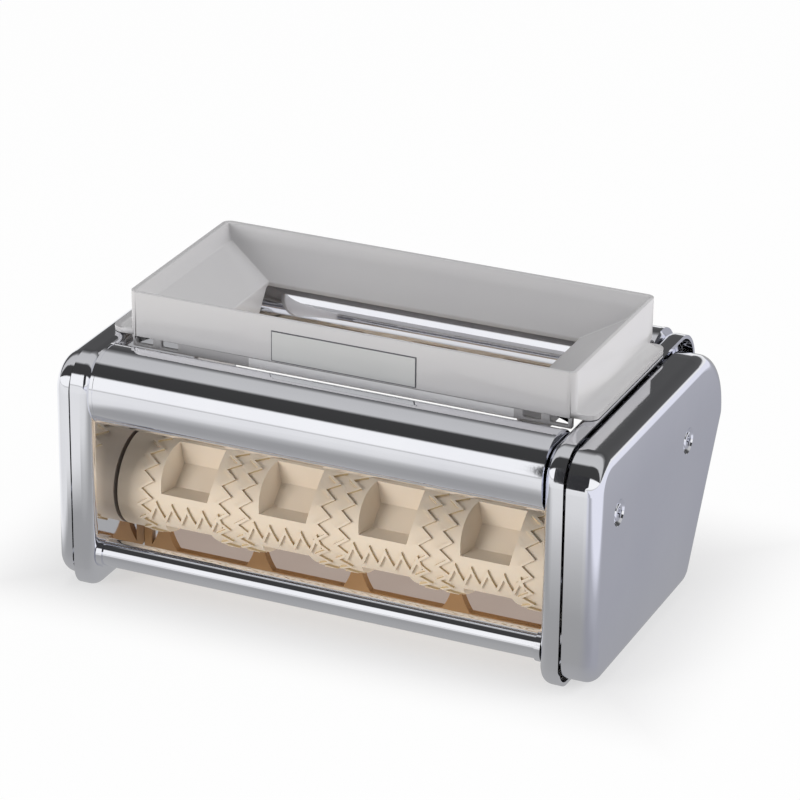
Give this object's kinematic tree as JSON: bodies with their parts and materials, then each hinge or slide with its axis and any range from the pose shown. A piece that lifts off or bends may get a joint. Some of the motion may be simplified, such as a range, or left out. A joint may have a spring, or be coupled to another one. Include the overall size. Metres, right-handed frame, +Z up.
{
  "type": "ravioli maker attachment",
  "caption": "Hand cranked ravioli maker: chrome side housings, geared forming rollers with pockets and crimping ridges, rolled top covers and a lift-off plastic hopper.",
  "frame": {"origin": "bottom centre of the bounding box, at the surface the frames stand on, 1.9 mm off the middle between the frames", "axes": "+X along the rollers to the side away from the crank socket, +Y to the back, +Z up"},
  "size_m": [0.2054, 0.1254, 0.1051],
  "materials": {
    "chrome": "polished",
    "steel": "satin",
    "bronze": "satin",
    "roller_plastic": "satin",
    "gear_plastic": "satin",
    "comb_plastic": "satin",
    "hopper_plastic": "gloss",
    "label": "satin"
  },
  "bodies": {
    "housing": {"left_side_frame": "chrome", "right_side_frame": "chrome", "left_side_cover": "chrome", "right_side_cover": "chrome", "left_cover_screws": "chrome", "right_cover_screws": "chrome", "left_mounting_rail": "steel", "right_mounting_rail": "steel", "cover_posts": "steel", "front_top_cover": "chrome", "rear_top_cover": "chrome", "top_cover_discs": "chrome", "front_tie_rod": "chrome", "rear_tie_rod": "chrome", "front_upper_rod": "steel", "rear_upper_rod": "steel", "tie_rod_ferrules": "chrome", "tie_rod_washers": "steel", "tie_rod_screws": "steel", "roller_bushes": "bronze", "crank_bush": "bronze", "front_scraper_comb": "comb_plastic", "rear_scraper_comb": "comb_plastic", "comb_screws": "steel"},
    "front_roller": {"front_forming_roller": "roller_plastic", "front_roller_shaft": "steel", "front_roller_keys": "steel", "front_roller_rings": "steel", "front_roller_gear": "gear_plastic"},
    "rear_roller": {"rear_forming_roller": "roller_plastic", "rear_roller_shaft": "steel", "rear_roller_keys": "steel", "rear_roller_rings": "steel", "rear_roller_gear": "gear_plastic", "driven_gear": "gear_plastic"},
    "crank_drive": {"crank_socket": "steel", "crank_pinion": "steel", "crank_rings": "steel"},
    "hopper_unit": {"hopper": "hopper_plastic", "label_plate": "label"}
  },
  "joints": [
    {"name": "rear_roller_spin", "type": "hinge", "parent": "housing", "child": "rear_roller", "pos_m": [0, 0.0097, 0.0317], "axis": [1, 0, 0], "continuous": true},
    {"name": "front_roller_spin", "type": "hinge", "parent": "housing", "child": "front_roller", "pos_m": [0, -0.0273, 0.0317], "axis": [1, 0, 0], "continuous": true},
    {"name": "crank_spin", "type": "hinge", "parent": "housing", "child": "crank_drive", "pos_m": [0, -0.00667, 0.0607], "axis": [1, 0, 0], "continuous": true},
    {"name": "hopper_lift", "type": "slide", "parent": "housing", "child": "hopper_unit", "axis": [0, 0, 1], "range_m": [0, 0.06]}
  ],
  "couplings": [
    {"joint": "front_roller_spin", "follows": "rear_roller_spin", "ratio": -1},
    {"joint": "crank_spin", "follows": "rear_roller_spin", "ratio": -2}
  ]
}
